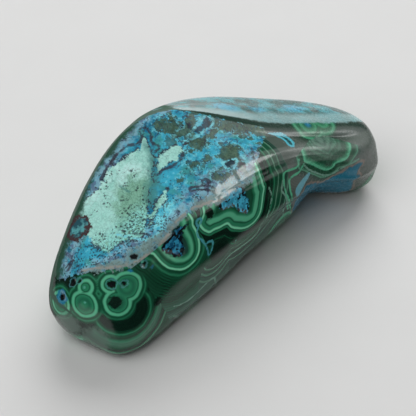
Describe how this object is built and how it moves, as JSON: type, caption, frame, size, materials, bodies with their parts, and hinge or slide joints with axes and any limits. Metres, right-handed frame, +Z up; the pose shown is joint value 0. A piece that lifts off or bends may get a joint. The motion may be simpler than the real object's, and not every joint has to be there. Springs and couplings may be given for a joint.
{
  "type": "polished chrysocolla and malachite stone",
  "caption": "Long tumbled freeform of blue chrysocolla and banded green malachite, one natural piece that rests on its flat sole.",
  "frame": {"origin": "under the middle of the stone's box, on the plane it rests on", "axes": "+X along the stone towards its narrower end, +Z up, the banded wall on the -Y side"},
  "size_m": [0.0678, 0.0302, 0.027],
  "materials": {
    "polished_stone": "polished"
  },
  "bodies": {
    "root": {"stone": "polished_stone"}
  },
  "joints": []
}
